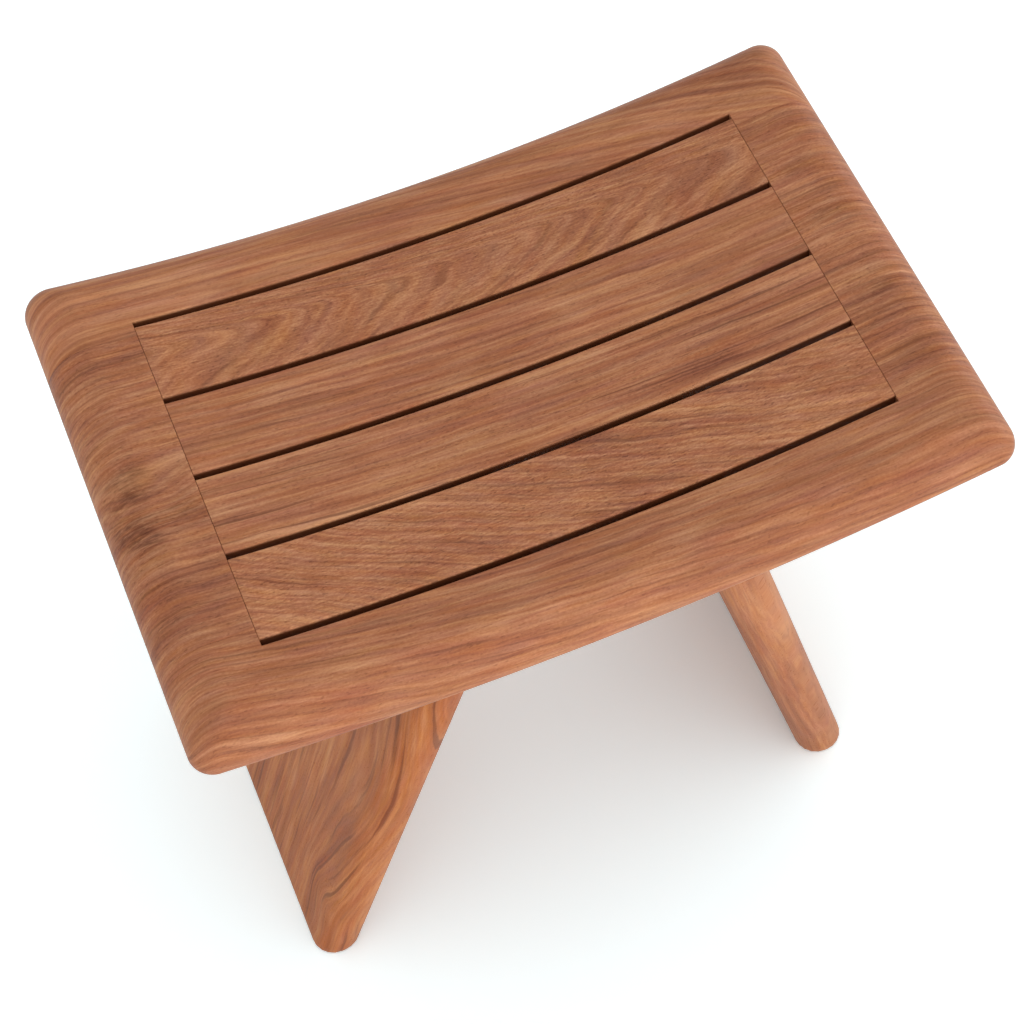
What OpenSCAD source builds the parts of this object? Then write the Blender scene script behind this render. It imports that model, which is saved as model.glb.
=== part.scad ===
// Teak shower bench: a dished, slatted seat on two splayed plank legs.
//
// X runs along the seat, the front is at -Y and the floor is z = 0.
// The seat's top is an arc of radius dish_r in the length direction, round an axis
// that lies along Y above the bench. Seat pieces are sections turned about that axis,
// so an angle from straight down gives a place along the seat.

/* [Seat] */
// Overall length of the seat
seat_l = 457; // [430:1:500]
// Overall depth of the seat, front to back
seat_d = 298; // [285:1:320]
// Height of the middle of the seat's top above the floor
seat_h = 442; // [420:1:500]
// Radius of the seat's hollow
dish_r = 1140; // [950:10:1600]
// Thickness of the rails round the seat
frame_t = 33.5; // [33:0.5:42]
// Depth of the front and rear rails beside the slats, front to back
rail_w = 46.6; // [42:0.2:50]
// Length of the slats, along the chord of the hollow
slat_l = 352.2; // [330:0.2:360]
// How far the front and rear rails widen inward beyond the slats, to meet the end rails
notch = 9; // [4:1:10]
// Radius on the seat's top outer edges, all the way round
edge_r = 25.5; // [18:0.5:26]
// Radius of the seat's corners, seen from above
corner_r = 13; // [8:1:16]
// Radius on the seat's lower outer edges
under_r = 7.5; // [5:0.5:7.5]

/* [Slats] */
// Thickness of a slat
slat_t = 18; // [16:1:20]
// Width of the two middle slats
inner_slat_w = 45.9; // [42:0.1:50]
// Width of a drain gap
gap = 3.5; // [2.5:0.5:3.9]
// Softening of the long top edges beside each drain gap
ease_r = 1; // [0.5:0.25:1.5]

/* [Legs] */
// Lean of each leg from upright, in degrees
splay = 15; // [12:0.5:16]
// Distance across the feet, outside to outside
foot_spread = 394; // [380:1:410]
// Thickness of a leg plank
leg_t = 31.5; // [30.5:0.5:34]
// Width of a leg plank, front to back
leg_w = 240.5; // [230:1:254]
// Radius on the long edges of a leg plank
leg_edge_r = 15; // [8:0.5:15]
// How far the rubber glides hold the legs off the floor
glide_proud = 1.5; // [1:0.25:3]

/* [Underframe] */
// Width of a cleat along its lower face
cleat_w = 26; // [22:1:30]
// Height of the stretcher's middle above the floor
stretcher_z = 305; // [290:5:330]
// Height of the stretcher board
stretcher_h = 56; // [45:1:70]
// Thickness of the stretcher board
stretcher_t = 20; // [18:1:24]

/* [Hidden] */

$fn = 64;
dish_fn = 720;
spare = 1;
wood = [0.63, 0.42, 0.31];
dowel_wood = [0.78, 0.60, 0.42];
steel = [0.75, 0.76, 0.78];
rubber = [0.14, 0.13, 0.12];

half_l = seat_l / 2;
half_d = seat_d / 2;
axis_z = seat_h + dish_r;
field_y = half_d - rail_w;
joint_y = field_y - notch;
outer_slat_w = field_y - 2.5 * gap - inner_slat_w;
slat_angle = asin(slat_l / 2 / dish_r);

// Each end is square to the hollow, so it leans out towards the bottom. The angle where
// its roll starts follows from the seat's overall length.
function reach(a) = under_r + (frame_t - under_r) * sin(a) + (edge_r - under_r) * cos(a);
function settle(a, turns) =
    turns == 0 ? a : settle(asin((half_l - reach(a)) / dish_r), turns - 1);
settle_turns = 8;
end_angle = settle(slat_angle, settle_turns);

// Slats are numbered from the rear. The outer two are a little wider than the inner.
slat_widths = [outer_slat_w, inner_slat_w, inner_slat_w, outer_slat_w];
gap_y = gap + inner_slat_w;
inner_y = (gap + inner_slat_w) / 2;
outer_y = gap_y + (gap + outer_slat_w) / 2;
slat_ys = [outer_y, inner_y, -inner_y, -outer_y];

// Distance of a leg's faces from the middle of the bench, at a height z.
foot_x = foot_spread / 2;
leg_across = leg_t / cos(splay);
function outer_face_x(z) = foot_x - z * tan(splay);
function inner_face_x(z) = outer_face_x(z) - leg_across;
function leg_mid_x(z) = outer_face_x(z) - leg_across / 2;

// Height at a distance x from the middle, at a depth d under the seat's top.
function under_top_z(x, d) = axis_z - sqrt(pow(dish_r + d, 2) - x * x);

// The middle of the tongue that a leg carries up between the long rails.
tongue_d = (slat_t + frame_t) / 2;
tongue_x = leg_mid_x(under_top_z(leg_mid_x(seat_h - tongue_d), tongue_d));
tongue_z = under_top_z(tongue_x, tongue_d);

// Dowels: diameter and whole length of each size, half of it in each piece.
slat_dowel_d = 8;
slat_dowel_l = 32;
slat_dowel_gap = 20;
end_dowel_d = 8;
end_dowel_l = 44;
end_dowel_xs = [12, 32];
end_dowel_depth = 19;
leg_dowel_d = 8;
leg_dowel_l = 40;

// Screws: shank, head and point.
screw_d = 4;
screw_sink = 0.5;
head_d = 8;
head_t = 2.4;
point_t = 3;
slat_screw_l = 25;
leg_screw_l = 45;
leg_screw_ys = [-gap_y, 0, gap_y];

// Cleats: wedges between a leg's tongue and the slats, a hair above the rails' underside.
cleat_z = under_top_z(inner_face_x(seat_h - frame_t), frame_t) + spare;
cleat_back_x = inner_face_x(cleat_z) - cleat_w;
slat_screw_in = 10;
leg_screw_up = 6;
cleat_screw_x = cleat_back_x + slat_screw_in;
leg_screw_z = cleat_z + leg_screw_up;

// Stretcher: its stub tenons, with a shoulder above and below, and its eased edges.
stretcher_shoulder = 8;
stretcher_tenon_h = stretcher_h - 2 * stretcher_shoulder;
stretcher_tenon_t = 12;
stretcher_tenon_l = 14;
stretcher_ease = 3;

// Glides: a rubber disc let into the foot of a plank and held by one screw.
glide_d = 18;
glide_t = 5;
glide_inset = 30;
glide_screw_l = 18;

// ---- Places -------------------------------------------------------------

// Turns a section about the hollow's axis from one angle to another. The section's X is
// the distance from the axis, and its Y the distance to the rear.
module dished(from, to)
    translate([0, 0, axis_z]) rotate([-90, 0, 0]) rotate([0, 0, 90 - to])
        rotate_extrude(angle = to - from, $fn = dish_fn) children();

// Puts its children on the seat's top at an angle: X along the hollow, Z square to it.
module on_dish(angle)
    translate([0, 0, axis_z]) rotate([0, -angle, 0]) translate([0, 0, -dish_r]) children();

// The same from a place on the seat's top, back towards the middle.
module back_along(angle) translate([0, 0, dish_r]) rotate([-90, 0, 0]) rotate([0, 0, 90])
    rotate_extrude(angle = angle, $fn = dish_fn) children();

module both_sides() for (side = [0, 1]) mirror([side, 0, 0]) children();
module front_and_rear() for (side = [0, 1]) mirror([0, side, 0]) children();

// Extrudes an outline in X and Z evenly to both sides of y = 0.
module across(depth) rotate([90, 0, 0]) linear_extrude(height = depth, center = true) children();

// A rod along Y, centred on a point.
module rod_y(d, l) rotate([90, 0, 0]) cylinder(d = d, h = l, center = true);

// A rod along X, centred on a point.
module rod_x(d, l) rotate([0, 90, 0]) cylinder(d = d, h = l, center = true);

// The waste that rounding takes off a square corner at the origin. The stock lies at
// -X and -Y.
module corner_waste(r) difference() {
    translate([-r, -r]) square(r + spare);
    translate([-r, -r]) circle(r = r);
}

module rounded_rect(w, h, r) difference() {
    square([w, h], center = true);
    for (sx = [0, 1], sy = [0, 1])
        mirror([sx, 0]) mirror([0, sy]) translate([w / 2, h / 2]) corner_waste(r);
}

// ---- Seat frame ---------------------------------------------------------

// Section through an end of the rear rail. Its top is at X = dish_r.
module rail_section() difference() {
    translate([dish_r, joint_y]) square([frame_t, half_d - joint_y]);
    translate([dish_r, half_d]) mirror([1, 0]) corner_waste(edge_r);
    translate([dish_r + frame_t, half_d]) corner_waste(under_r);
}

// Extrudes a waste outline along Y, with its X along the hollow and its Y upward.
module waste_along_y(y_from, y_to) translate([0, y_to, 0]) rotate([90, 0, 0])
    linear_extrude(height = y_to - y_from) children();

// Extrudes a waste outline along X, with its X to the rear and its Y upward.
module waste_along_x(l) rotate([90, 0, 90]) linear_extrude(height = l) children();

// The waste off a seat edge at X = x: the top's and, below it, the underside's.
module edge_waste(x) {
    translate([x, 0]) corner_waste(edge_r);
    translate([x, -frame_t]) mirror([0, 1]) corner_waste(under_r);
}

// An end beyond the start of its rounding, placed on the seat's top there. The rounding
// runs the full depth of the seat.
module seat_end(y_from, y_to) difference() {
    translate([0, y_from, -frame_t]) cube([edge_r, y_to - y_from, frame_t]);
    waste_along_y(y_from - spare, y_to + spare) edge_waste(edge_r);
}

// The waste round the right rear corner: the long edge's, carried round a bend that is
// tighter than the edge's own radius.
module corner_waste_round() {
    waste_along_x(edge_r + spare) edge_waste(half_d);
    translate([edge_r, half_d, -frame_t - spare]) linear_extrude(height = frame_t + 2 * spare)
        corner_waste(corner_r);
    translate([edge_r - corner_r, half_d - corner_r, 0]) rotate_extrude(angle = 90)
        intersection() {
            edge_waste(corner_r);
            translate([0, -frame_t - spare]) square([corner_r + spare, frame_t + 2 * spare]);
        }
}

// The right half of the rear rail, from the middle of the bench.
module half_rail() difference() {
    on_dish(end_angle) {
        back_along(2 * end_angle) rail_section();
        difference() {
            seat_end(joint_y, half_d);
            corner_waste_round();
        }
    }
    translate([-seat_l, 0, 0]) cube([seat_l, seat_d, axis_z]);
}

// The rear rail, notched for the slats. The front one is its mirror image.
module long_rail() color(wood) difference() {
    union() both_sides() half_rail();
    dished(-slat_angle, slat_angle) {
        translate([dish_r - spare, joint_y - spare]) square([frame_t + 2 * spare, notch + spare]);
        translate([dish_r, field_y]) mirror([1, 0]) mirror([0, 1]) corner_waste(ease_r);
    }
    both_sides() {
        end_dowel_pair(spare);
        leg_dowel(spare);
    }
}

module rear_rail() long_rail();
module front_rail() mirror([0, 1, 0]) long_rail();

// The right end rail, between the long rails. The left one is its mirror image.
module end_rail() color(wood) difference() {
    on_dish(end_angle) {
        back_along(end_angle - slat_angle)
            translate([dish_r, -joint_y]) square([frame_t, 2 * joint_y]);
        seat_end(-joint_y, joint_y);
    }
    front_and_rear() end_dowel_pair(spare);
    for (n = [0 : 3]) slat_dowel_pair(n, spare);
}

module right_end_rail() end_rail();
module left_end_rail() mirror([1, 0, 0]) end_rail();

// ---- Slats --------------------------------------------------------------

module slat(n) color(wood) difference() {
    dished(-slat_angle, slat_angle) difference() {
        translate([dish_r, slat_ys[n] - slat_widths[n] / 2]) square([slat_t, slat_widths[n]]);
        for (side = [0, 1]) translate([dish_r, slat_ys[n]]) mirror([0, side])
            translate([0, slat_widths[n] / 2]) mirror([1, 0]) corner_waste(ease_r);
    }
    both_sides() {
        slat_dowel_pair(n, spare);
        cleat_slat_screw(n, spare);
    }
}

module slat_1() slat(0);
module slat_2() slat(1);
module slat_3() slat(2);
module slat_4() slat(3);

// ---- Legs ---------------------------------------------------------------

// The room that the seat takes up over a leg: the slats' between the long rails, and the
// full frame's beyond them.
module seat_room() dished(0, 2 * slat_angle) {
    translate([dish_r - frame_t, -leg_w]) square([frame_t + slat_t, 2 * leg_w]);
    for (side = [0, 1]) mirror([0, side])
        translate([dish_r - frame_t, field_y]) square([2 * frame_t, leg_w]);
}

// The right leg: a plank with rounded long edges, sawn level at the foot, shouldered
// under the long rails and carried up between them to the slats.
module leg() color(wood) difference() {
    translate([foot_x, 0, 0]) rotate([0, -splay, 0]) translate([-leg_t / 2, 0, -leg_t])
        linear_extrude(height = seat_h / cos(splay) + leg_t) rounded_rect(leg_t, leg_w, leg_edge_r);
    translate([0, -leg_w, -2 * leg_t]) cube([2 * foot_x, 2 * leg_w, 2 * leg_t + glide_proud]);
    seat_room();
    front_and_rear() {
        leg_dowel(spare);
        glide_seat();
        glide_screw();
    }
    stretcher_tenons(spare);
    for (n = [0 : 2]) cleat_leg_screw(n, 0);
}

module right_leg() leg();
module left_leg() mirror([1, 0, 0]) leg();

// ---- Underframe ---------------------------------------------------------

// The right cleat: a wedge that fills the angle between the leg's tongue and the slats.
module cleat() color(wood) difference() {
    across(2 * field_y) polygon([
        [cleat_back_x, cleat_z],
        [inner_face_x(cleat_z), cleat_z],
        [inner_face_x(seat_h), seat_h],
        [cleat_back_x, seat_h],
    ]);
    seat_room();
    for (n = [0 : 3]) cleat_slat_screw(n, spare);
    for (n = [0 : 2]) cleat_leg_screw(n, spare);
}

module right_cleat() cleat();
module left_cleat() mirror([1, 0, 0]) cleat();

// A board from one leg's inner face to the other's, reaching past each by extra.
module between_legs(h, t, extra) across(t) polygon([
    for (p = [[-1, -1], [1, -1], [1, 1], [-1, 1]])
        let (z = stretcher_z + p[1] * h / 2) [p[0] * (inner_face_x(z) + extra), z],
]);

module stretcher_tenons(extra = 0) intersection() {
    between_legs(stretcher_tenon_h, stretcher_tenon_t, stretcher_tenon_l + extra);
    union() both_sides() translate([inner_face_x(stretcher_z + stretcher_h / 2) - leg_t, -leg_t, 0])
        cube([foot_x, 2 * leg_t, seat_h]);
}

module stretcher() color(wood) {
    intersection() {
        between_legs(stretcher_h, stretcher_t, 0);
        translate([-foot_x, 0, stretcher_z]) rotate([90, 0, 90]) linear_extrude(height = 2 * foot_x)
            rounded_rect(stretcher_t, stretcher_h, stretcher_ease);
    }
    stretcher_tenons();
}

// ---- Dowels -------------------------------------------------------------
// Each is drawn once, and the same call with a margin bores its holes.

module slat_dowel_pair(n, margin = 0) for (side = [-1, 1])
    on_dish(slat_angle) translate([0, slat_ys[n] + side * slat_dowel_gap / 2, -slat_t / 2])
        rod_x(slat_dowel_d, slat_dowel_l + 2 * margin);

module end_dowel_pair(margin = 0) for (x = end_dowel_xs)
    on_dish(slat_angle) translate([x, joint_y, -end_dowel_depth])
        rod_y(end_dowel_d, end_dowel_l + 2 * margin);

module leg_dowel(margin = 0) translate([tongue_x, field_y, tongue_z])
    rod_y(leg_dowel_d, leg_dowel_l + 2 * margin);

module slat_dowels() color(dowel_wood) both_sides() for (n = [0 : 3]) slat_dowel_pair(n);
module end_rail_dowels() color(dowel_wood) both_sides() front_and_rear() end_dowel_pair();
module leg_dowels() color(dowel_wood) both_sides() front_and_rear() leg_dowel();

// ---- Screws and glides --------------------------------------------------

// A countersunk wood screw that enters along +Z. Its head lies sunk under the surface at
// z = 0, and depth clears the way in for it.
module screw(l, depth = 0) {
    rotate_extrude() polygon([
        [0, screw_sink],
        [head_d / 2, screw_sink],
        [screw_d / 2, screw_sink + head_t],
        [screw_d / 2, l - point_t],
        [0, l],
    ]);
    if (depth > 0) translate([0, 0, -depth]) cylinder(d = head_d, h = depth + screw_sink);
}

module cleat_slat_screw(n, depth = 0)
    translate([cleat_screw_x, slat_ys[n], cleat_z]) screw(slat_screw_l, depth);

module cleat_leg_screw(n, depth = 0)
    translate([cleat_back_x, leg_screw_ys[n], leg_screw_z]) rotate([0, 90, 0]) screw(leg_screw_l, depth);

module glide_place() translate([leg_mid_x(glide_proud), leg_w / 2 - glide_inset, 0]) children();

module glide_seat() glide_place() cylinder(d = glide_d, h = glide_t);

module glide_screw(depth = 0) glide_place() translate([0, 0, screw_sink]) screw(glide_screw_l, depth);

module foot_glides() color(rubber) both_sides() front_and_rear() difference() {
    glide_seat();
    glide_screw(spare);
}

module cleat_slat_screws() color(steel) both_sides() for (n = [0 : 3]) cleat_slat_screw(n);
module cleat_leg_screws() color(steel) both_sides() for (n = [0 : 2]) cleat_leg_screw(n);
module glide_screws() color(steel) both_sides() front_and_rear() glide_screw();

front_rail();
rear_rail();
left_end_rail();
right_end_rail();
slat_1();
slat_2();
slat_3();
slat_4();
left_leg();
right_leg();
left_cleat();
right_cleat();
stretcher();
slat_dowels();
end_rail_dowels();
leg_dowels();
cleat_slat_screws();
cleat_leg_screws();
foot_glides();
glide_screws();
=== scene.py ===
"""Teak shower bench: the worked surfaces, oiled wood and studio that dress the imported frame."""

from math import asin, cos, pi, radians, sin, tan

import bmesh
import bpy
import numpy as np
from bpy.props import FloatProperty, FloatVectorProperty, PointerProperty
from bpy.types import Operator, Panel, PropertyGroup
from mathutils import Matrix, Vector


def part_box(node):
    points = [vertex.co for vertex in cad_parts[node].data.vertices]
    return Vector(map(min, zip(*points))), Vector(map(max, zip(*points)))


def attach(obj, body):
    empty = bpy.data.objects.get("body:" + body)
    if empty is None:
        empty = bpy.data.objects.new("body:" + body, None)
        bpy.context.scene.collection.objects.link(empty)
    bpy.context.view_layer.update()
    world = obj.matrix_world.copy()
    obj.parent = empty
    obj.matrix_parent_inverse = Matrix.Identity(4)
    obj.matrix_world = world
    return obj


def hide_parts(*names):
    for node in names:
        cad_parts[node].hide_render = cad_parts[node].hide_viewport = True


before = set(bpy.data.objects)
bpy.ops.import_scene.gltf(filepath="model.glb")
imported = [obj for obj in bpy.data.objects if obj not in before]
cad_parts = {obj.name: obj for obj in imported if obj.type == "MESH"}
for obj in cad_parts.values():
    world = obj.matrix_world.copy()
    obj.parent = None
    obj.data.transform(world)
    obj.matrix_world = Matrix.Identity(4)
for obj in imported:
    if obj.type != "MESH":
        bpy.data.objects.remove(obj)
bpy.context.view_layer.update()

bl_info = {
    "name": "Teak shower bench",
    "version": (1, 0, 0),
    "blender": (4, 5, 0),
    "location": "3D View > Sidebar > Bench",
    "description": "Builds a dished, slatted teak bench and the studio it stands in",
    "category": "Add Mesh",
}

RAIL_LOW, RAIL_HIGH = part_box("rear_rail")
FRONT_LOW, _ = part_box("front_rail")
SLAT_LOW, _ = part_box("slat_2")
LEG_LOW, LEG_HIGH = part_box("right_leg")

MM = 0.001
WELD = 2e-7  # points that round to the same multiple of this length are one point
JOINT_HAIR = 0.05 * MM  # how far a slat's end and the end rail's face stand back from their joint
ROUND_STEP, BOARD_STEP = 3 * MM, 4 * MM  # spacing of points across the rails and along the boards
TOP_TURNS = np.radians(np.arange(0, 90.1, 3))  # round the top outer edge
LOW_TURNS = np.radians(np.arange(0, 90.1, 10))  # round the lower outer edge
EASE_TURNS = np.radians([0, 30, 60, 90])  # round an eased edge
SIDE_SHARES = np.array([0.66, 0.33])  # places up an inner side

FLOOR_HALF = 4.0  # half the width of the floor
FLOOR_SHOWN = (1.16, 1.3, 1.33)  # the floor's colour as the camera sees it
FLOOR_GLOW = 0.075  # light added to what the camera sees of the floor
WALL_RISE = 0.25  # sine of the elevation at which the walls of light have faded to 1 / e
CAMERA_PLACE = (-0.22034, -0.56513, 1.43564)
CAMERA_AZIMUTH, CAMERA_ELEVATION = radians(-23.36), radians(60.65)
CAMERA_SHIFT = (-0.0397, -0.0586)


def number(name, default, text, **more):
    """A number for the sidebar."""
    return FloatProperty(name=name, description=text, default=default, **more)


def length(name, default, text):
    """A size in metres for the sidebar."""
    return number(name, default, text, min=0.0, unit="LENGTH", precision=4)


def tint(name, red, green, blue, text):
    """A colour for the sidebar, from the 0 to 255 values that a screen shows."""
    shown = np.array([red, green, blue]) / 255.0
    linear = np.where(shown <= 0.04045, shown / 12.92, ((shown + 0.055) / 1.055) ** 2.4)
    return FloatVectorProperty(
        name=name, description=text, subtype="COLOR", size=3, min=0.0, max=1.0, default=tuple(linear)
    )


class BenchSizes(PropertyGroup):
    seat_length: length("Seat length", RAIL_HIGH.x - RAIL_LOW.x, "Overall length of the seat")
    seat_depth: length("Seat depth", RAIL_HIGH.y - FRONT_LOW.y, "Overall depth, front to back")
    seat_height: length("Seat height", SLAT_LOW.z + 18 * MM, "Height of the middle of the seat's top")
    dish_radius: length("Hollow radius", 1140 * MM, "Radius of the seat's hollow along its length")
    frame_thickness: length("Frame thickness", 33.5 * MM, "Thickness of the rails round the seat")
    rail_width: length("Rail width", 46.6 * MM, "Depth of the front and rear rails beside the slats")
    notch: length("Notch", 9 * MM, "How far the long rails widen inward beyond the slats")
    edge_radius: length("Edge radius", 25.5 * MM, "Radius of the seat's top outer edges")
    corner_radius: length("Corner radius", 13 * MM, "Radius of the seat's corners from above")
    under_radius: length("Lower radius", 7.5 * MM, "Radius of the seat's lower outer edges")
    slat_length: length("Slat length", 352.2 * MM, "Length of the slats along the chord")
    slat_thickness: length("Slat thickness", 18 * MM, "Thickness of a slat")
    inner_slat_width: length("Middle slat width", 45.9 * MM, "Width of the two middle slats")
    gap: length("Drain gap", 3.5 * MM, "Width of a drain gap")
    ease: length("Eased edge", 1 * MM, "Radius of the edges beside the drain gaps")
    joint_ease: length("Joint ease", 0.22 * MM, "Softening of the edges at the glued joints")
    splay: number("Splay", radians(15), "Lean of a leg from upright", subtype="ANGLE")
    foot_spread: length("Foot spread", 394 * MM, "Distance across the feet, outside to outside")
    leg_thickness: length("Leg thickness", 31.5 * MM, "Thickness of a leg plank")
    leg_width: length("Leg width", LEG_HIGH.y - LEG_LOW.y, "Width of a leg plank, front to back")
    leg_edge_radius: length("Leg edge radius", 15 * MM, "Radius of a leg's long edges")
    foot_clearance: length("Foot clearance", 1.5 * MM, "How far the glides hold the legs up")
    stretcher_height: length("Stretcher height", 56 * MM, "Height of the stretcher board")
    stretcher_thickness: length("Stretcher thickness", 20 * MM, "Thickness of the stretcher")
    stretcher_middle: length("Stretcher middle", 305 * MM, "Height of the stretcher's middle")


class BenchFinish(PropertyGroup):
    teak_dark: tint("Dark grain", 108, 64, 47, "The darkest streaks of the oiled teak")
    teak_brown: tint("Brown grain", 144, 89, 65, "The darker rings of the oiled teak")
    teak_mid: tint("Mid teak", 166, 107, 76, "The oiled teak's general colour")
    teak_light: tint("Light grain", 205, 148, 107, "The lighter rings of the oiled teak")
    pore: tint("Pores", 92, 52, 38, "The open pores of the teak")
    # Painted shade: this colour darkens the sides of the drain gaps, and it also colours the dark joint
    # lines.
    dark_joint_and_gap_shade: tint("Dark joints and gap shade", 110, 60, 34, "The dark joint lines, and the painted shade on the sides of the drain gaps")
    beech: tint("Dowel wood", 196, 156, 112, "The beech of the dowels")
    steel: tint("Steel", 196, 197, 200, "The stainless screws")
    rubber: tint("Rubber", 40, 38, 37, "The rubber glides under the feet")
    roughness: number("Roughness", 0.33, "Roughness of the oiled wood", min=0.0, max=1.0)


class BenchStudio(PropertyGroup):
    floor: tint("Floor", 244, 246, 246, "The pale floor")
    lens: number("Lens", 76.779, "Focal length in millimetres")
    top_light: number("Top light", 1.97, "Light from overhead")
    side_light: number("Side light", 4.0, "Extra light from the walls")
    key_share: number("Key share", 0.58, "How much brighter the walls are at the key side")
    key_side: number("Key side", radians(-42), "Direction of the brightest wall", subtype="ANGLE")
    rear_shade: number("Rear shade", 0.7, "How much of the rear wall's light is missing")


def sizes():
    return bpy.context.scene.bench_sizes


def finish():
    return bpy.context.scene.bench_finish


# ---- Shape of the seat ------------------------------------------------------


def end_angle(z):
    """Angle of the hollow at which an end's rounding starts. The reach of the leaning end past that
    place is under + (thickness - under) sin A + (edge - under) cos A, and A is settled so that the
    hollow's arc and this reach make half the seat's length."""
    angle = asin(z.slat_length / 2 / z.dish_radius)
    for _ in range(8):
        reach = (
            z.under_radius
            + (z.frame_thickness - z.under_radius) * sin(angle)
            + (z.edge_radius - z.under_radius) * cos(angle)
        )
        angle = asin((z.seat_length / 2 - reach) / z.dish_radius)
    return angle


def slat_end(z):
    """Arc length from the middle of the seat to the end of the slats."""
    return z.dish_radius * asin(z.slat_length / 2 / z.dish_radius)


def round_start(z):
    """Arc length from the middle of the seat to the start of an end's rounding."""
    return z.dish_radius * end_angle(z)


def on_dish(z, along, y, down):
    """Points at an arc length along the hollow, a place y and a depth down under the top:
    x = (R + down) sin(along / R) and z = height + R - (R + down) cos(along / R) as far as the end's
    rounding starts, and straight on along the tangent beyond it."""
    along, y, down = np.broadcast_arrays(along, y, down)
    limit = end_angle(z)
    turn = np.clip(along / z.dish_radius, -limit, limit)
    beyond = along - turn * z.dish_radius
    out = z.dish_radius + down
    x = out * np.sin(turn) + beyond * np.cos(turn)
    height = z.seat_height + z.dish_radius - out * np.cos(turn) + beyond * np.sin(turn)
    return np.stack([x, y, height], -1)


def slat_places(z):
    """Middle and width of each slat from the rear: inner slats one pitch apart, the outer two fill
    what the drain gaps leave."""
    field = z.seat_depth / 2 - z.rail_width
    outer_width = field - 2.5 * z.gap - z.inner_slat_width
    pitch = z.gap + z.inner_slat_width
    outer = pitch + (z.gap + outer_width) / 2
    return [
        (outer, outer_width),
        (pitch / 2, z.inner_slat_width),
        (-pitch / 2, z.inner_slat_width),
        (-outer, outer_width),
    ]


# ---- Meshes -----------------------------------------------------------------


def weld(points, grain, wear):
    """Merges points that share a place, and gives the kept ones and each old point's new number."""
    key = np.round(points / WELD).astype(np.int64)
    _, first, new = np.unique(key, axis=0, return_index=True, return_inverse=True)
    return points[first], grain[first], wear[first], new.reshape(-1)


def grid_faces(rows, columns, start=0):
    """Four-sided faces of a grid of points numbered row by row from start, whose last column is
    joined to the first."""
    r = np.arange(rows - 1)[:, None]
    c = np.arange(columns)[None, :]
    n = (c + 1) % columns
    quads = [r * columns + c, r * columns + n, (r + 1) * columns + n, (r + 1) * columns + c]
    return np.stack(quads, -1).reshape(-1, 4) + start


def add_object(name, data):
    """A new object of this data in the scene."""
    made = bpy.data.objects.new(name, data)
    bpy.context.scene.collection.objects.link(made)
    return made


def make_piece(name, shell, nodes, material):
    """Puts welded points and faces into a mesh with its grain and wear attributes, drops faces that
    have closed up, points every face outward and hides the frame's parts that it stands for."""
    points, grain, wear, new = weld(*shell[:3])
    kept = []
    for face in shell[3]:
        face = new[np.asarray(face)]
        face = face[face != np.roll(face, 1)]
        if len(face) > 2:
            kept.append(face.tolist())
    mesh = bpy.data.meshes.new(name)
    mesh.from_pydata(points.tolist(), [], kept)
    mesh.attributes.new("grain", "FLOAT_VECTOR", "POINT").data.foreach_set("vector", grain.ravel())
    mesh.attributes.new("wear", "FLOAT", "POINT").data.foreach_set("value", wear.ravel())
    mesh.shade_smooth()
    mesh.update()
    piece = add_object(name, mesh)
    outward(mesh)
    mesh.set_sharp_from_angle(angle=radians(40))
    mesh.materials.append(material)
    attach(piece, "root")
    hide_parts(*nodes)


def outward(mesh):
    """Turns the faces of every closed shell outward."""
    work = bmesh.new()
    work.from_mesh(mesh)
    bmesh.ops.recalc_face_normals(work, faces=work.faces[:])
    work.to_mesh(mesh)
    work.free()


def steps(start, end, step):
    """Evenly spaced values from start to end, about step apart."""
    return np.linspace(start, end, max(2, int(round(abs(end - start) / step)) + 1))


def eased_run(stop, ease):
    """Places from -stop to stop with a quarter turn of the ease at each end, and how far a section
    draws in at each place: ease (1 - sin(turn)) where the place is stop - ease (1 - cos(turn))."""
    edge = stop - ease * (1 - np.cos(EASE_TURNS))
    places = np.concatenate([-edge, steps(-stop + ease, stop - ease, BOARD_STEP)[1:-1], edge[::-1]])
    drawn = ease * (1 - np.sin(EASE_TURNS))
    return places, np.concatenate([drawn, np.zeros(len(places) - 2 * len(drawn)), drawn[::-1]])


def corner_share(z, ax, ay):
    """How far a place has gone from the start of the rounding (0) to the outer wall (1), from its
    shares ax and ay in the two directions. The lines of equal share are squares with rounded
    corners, so the two roundings run into each other round the seat's corner."""
    c = z.corner_radius / z.edge_radius
    k = 1 - c
    big, small = np.maximum(ax, ay), np.minimum(ax, ay)
    lead = 2 * k * k - c * c
    total = k * (big + small)
    under = np.maximum(total * total - lead * (big * big + small * small), 0)
    bent = (total - np.sqrt(under)) / lead
    return np.clip(np.where(small <= k * big, big, bent), 0, 1)


def drop(z, share):
    """Fall of the top at a share of the rounding: r - sqrt(r^2 - (r share)^2)."""
    r = z.edge_radius
    return r - np.sqrt(np.maximum(r * r - (r * share) ** 2, 0))


def lift(z, inset):
    """Rise of the underside at an inset from the outer wall: u - sqrt(u^2 - (u - inset)^2)."""
    u = z.under_radius
    return u - np.sqrt(np.maximum(u * u - np.clip(u - inset, 0, u) ** 2, 0))


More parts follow.
